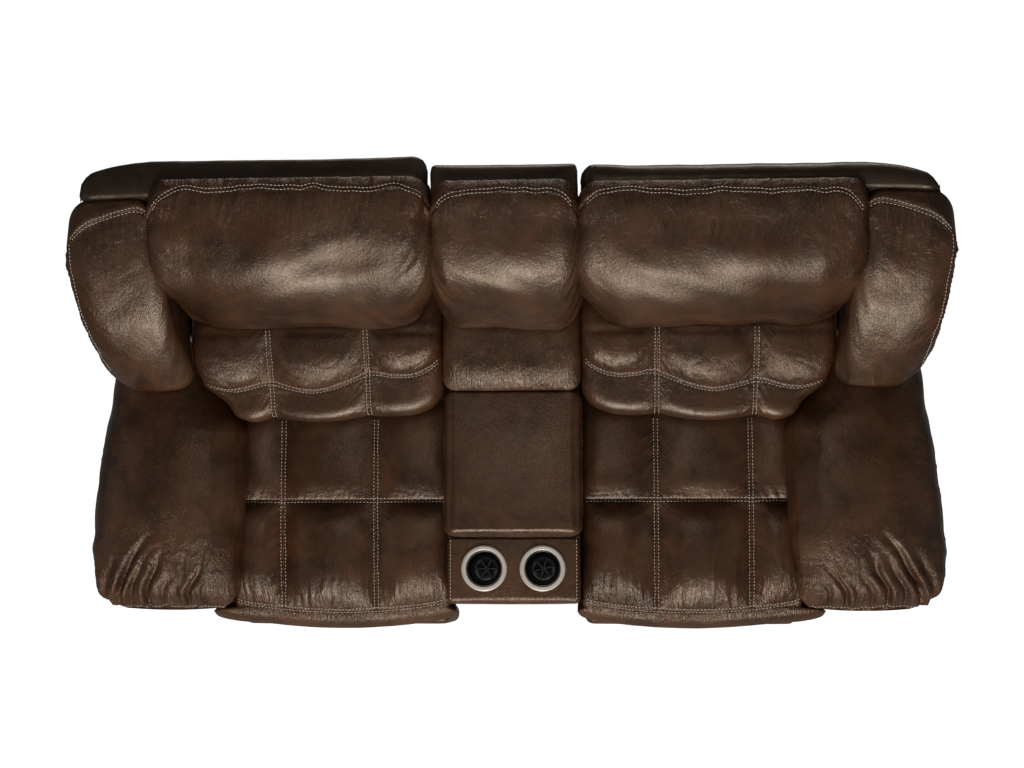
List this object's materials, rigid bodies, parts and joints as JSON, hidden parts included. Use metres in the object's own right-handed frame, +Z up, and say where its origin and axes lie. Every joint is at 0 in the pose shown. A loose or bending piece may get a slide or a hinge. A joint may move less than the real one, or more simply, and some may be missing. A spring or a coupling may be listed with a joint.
{
  "type": "reclining loveseat",
  "caption": "Leather reclining loveseat with reclining backs, folding footrests and a fixed console with lidded box and cup holders.",
  "frame": {"origin": "on the floor under the middle of the whole box", "axes": "+Z up, -Y towards the front where people sit down, +X to the right as seen from the front"},
  "size_m": [1.9802, 1.0069, 1.0135],
  "materials": {
    "cushion_leather": "semi-gloss, soft, wrinkled",
    "panel_leather": "semi-gloss, stretched over board",
    "frame_wood": "bare plywood and pine",
    "mechanism_steel": "satin black paint",
    "bright_ring": "satin stainless",
    "black_plastic": "moulded, satin",
    "foot_rubber": "matt"
  },
  "bodies": {
    "base": {"console_back_frame": "panel_leather", "console_cup_panel": "cushion_leather", "console_deck": "frame_wood", "console_front_panel": "panel_leather", "console_head_cushion": "cushion_leather", "console_lumbar_cushion": "cushion_leather", "console_side_panels": "panel_leather", "console_storage_box": "black_plastic", "cup_liners": "black_plastic", "cup_rings": "bright_ring", "feet": "foot_rubber", "front_stretcher": "frame_wood", "latch_tubs": "black_plastic", "left_arm_front_panel": "panel_leather", "left_arm_inner_board": "frame_wood", "left_arm_pillow": "cushion_leather", "left_arm_side_panel": "panel_leather", "lid_hinge": "mechanism_steel", "rear_panels": "panel_leather", "rear_stretcher": "frame_wood", "right_arm_front_panel": "panel_leather", "right_arm_inner_board": "frame_wood", "right_arm_pillow": "cushion_leather", "right_arm_side_panel": "panel_leather", "slide_rails": "mechanism_steel"},
    "left_carriage": {"left_seat_cross_rails": "frame_wood", "left_seat_cushion": "cushion_leather", "left_seat_side_rails": "frame_wood", "left_seat_springs": "mechanism_steel", "left_side_plates": "mechanism_steel"},
    "left_back": {"left_back_panel": "panel_leather", "left_back_posts": "frame_wood", "left_back_rail": "frame_wood", "left_head_cushion": "cushion_leather", "left_lumbar_cushion": "cushion_leather", "left_wing": "cushion_leather"},
    "left_drive": {"left_drive_links": "mechanism_steel"},
    "left_idler": {"left_idler_links": "mechanism_steel"},
    "left_carrier": {"left_carrier_links": "mechanism_steel"},
    "left_footrest": {"left_footrest_frame": "mechanism_steel", "left_footrest_pad": "cushion_leather"},
    "left_latch": {"left_latch_paddle": "black_plastic"},
    "right_carriage": {"right_seat_cross_rails": "frame_wood", "right_seat_cushion": "cushion_leather", "right_seat_side_rails": "frame_wood", "right_seat_springs": "mechanism_steel", "right_side_plates": "mechanism_steel"},
    "right_back": {"right_back_panel": "panel_leather", "right_back_posts": "frame_wood", "right_back_rail": "frame_wood", "right_head_cushion": "cushion_leather", "right_lumbar_cushion": "cushion_leather", "right_wing": "cushion_leather"},
    "right_drive": {"right_drive_links": "mechanism_steel"},
    "right_idler": {"right_idler_links": "mechanism_steel"},
    "right_carrier": {"right_carrier_links": "mechanism_steel"},
    "right_footrest": {"right_footrest_frame": "mechanism_steel", "right_footrest_pad": "cushion_leather"},
    "right_latch": {"right_latch_paddle": "black_plastic"},
    "lid": {"console_lid": "cushion_leather"}
  },
  "joints": [
    {"name": "left_seat_slide", "type": "slide", "parent": "base", "child": "left_carriage", "axis": [0, -1, 0], "range_m": [0, 0.0605]},
    {"name": "left_back_recline", "type": "hinge", "parent": "left_carriage", "child": "left_back", "pos_m": [-0.426, 0.24599, 0.34], "axis": [-1, 0, 0], "range_deg": [0, 32]},
    {"name": "left_footrest_drive", "type": "hinge", "parent": "left_carriage", "child": "left_drive", "pos_m": [-0.426, -0.36, 0.275], "axis": [-1, 0, 0], "range_deg": [0, 100]},
    {"name": "left_idler_swing", "type": "hinge", "parent": "left_carriage", "child": "left_idler", "pos_m": [-0.426, -0.29, 0.255], "axis": [-1, 0, 0], "range_deg": [0, 100.5]},
    {"name": "left_carrier_swing", "type": "hinge", "parent": "left_drive", "child": "left_carrier", "pos_m": [-0.426, -0.28815, 0.12093], "axis": [-1, 0, 0], "range_deg": [-100.5, 0]},
    {"name": "left_footrest_turn", "type": "hinge", "parent": "left_carrier", "child": "left_footrest", "pos_m": [-0.426, -0.43, 0.325], "axis": [-1, 0, 0], "range_deg": [0, 90.5]},
    {"name": "left_latch_pull", "type": "hinge", "parent": "base", "child": "left_latch", "pos_m": [-0.926, -0.2902, 0.4], "axis": [0, 0, 1], "range_deg": [0, 30], "stiffness_Nm_per_rad": 0.4},
    {"name": "right_seat_slide", "type": "slide", "parent": "base", "child": "right_carriage", "axis": [0, -1, 0], "range_m": [0, 0.0605]},
    {"name": "right_back_recline", "type": "hinge", "parent": "right_carriage", "child": "right_back", "pos_m": [0.426, 0.24599, 0.34], "axis": [-1, 0, 0], "range_deg": [0, 32]},
    {"name": "right_footrest_drive", "type": "hinge", "parent": "right_carriage", "child": "right_drive", "pos_m": [0.426, -0.36, 0.275], "axis": [-1, 0, 0], "range_deg": [0, 100]},
    {"name": "right_idler_swing", "type": "hinge", "parent": "right_carriage", "child": "right_idler", "pos_m": [0.426, -0.29, 0.255], "axis": [-1, 0, 0], "range_deg": [0, 100.5]},
    {"name": "right_carrier_swing", "type": "hinge", "parent": "right_drive", "child": "right_carrier", "pos_m": [0.426, -0.28815, 0.12093], "axis": [-1, 0, 0], "range_deg": [-100.5, 0]},
    {"name": "right_footrest_turn", "type": "hinge", "parent": "right_carrier", "child": "right_footrest", "pos_m": [0.426, -0.43, 0.325], "axis": [-1, 0, 0], "range_deg": [0, 90.5]},
    {"name": "right_latch_pull", "type": "hinge", "parent": "base", "child": "right_latch", "pos_m": [0.926, -0.2902, 0.4], "axis": [0, 0, -1], "range_deg": [0, 30], "stiffness_Nm_per_rad": 0.4},
    {"name": "lid_opening", "type": "hinge", "parent": "base", "child": "lid", "pos_m": [0, 0.036, 0.572], "axis": [-1, 0, 0], "range_deg": [0, 60]}
  ],
  "couplings": [
    {"joint": "left_seat_slide", "follows": "left_back_recline", "m_per_rad": 0.10743},
    {"joint": "left_idler_swing", "follows": "left_footrest_drive", "ratio": 1},
    {"joint": "left_carrier_swing", "follows": "left_footrest_drive", "ratio": -1},
    {"joint": "left_footrest_turn", "follows": "left_footrest_drive", "ratio": 0.9},
    {"joint": "right_seat_slide", "follows": "right_back_recline", "m_per_rad": 0.10743},
    {"joint": "right_idler_swing", "follows": "right_footrest_drive", "ratio": 1},
    {"joint": "right_carrier_swing", "follows": "right_footrest_drive", "ratio": -1},
    {"joint": "right_footrest_turn", "follows": "right_footrest_drive", "ratio": 0.9}
  ]
}
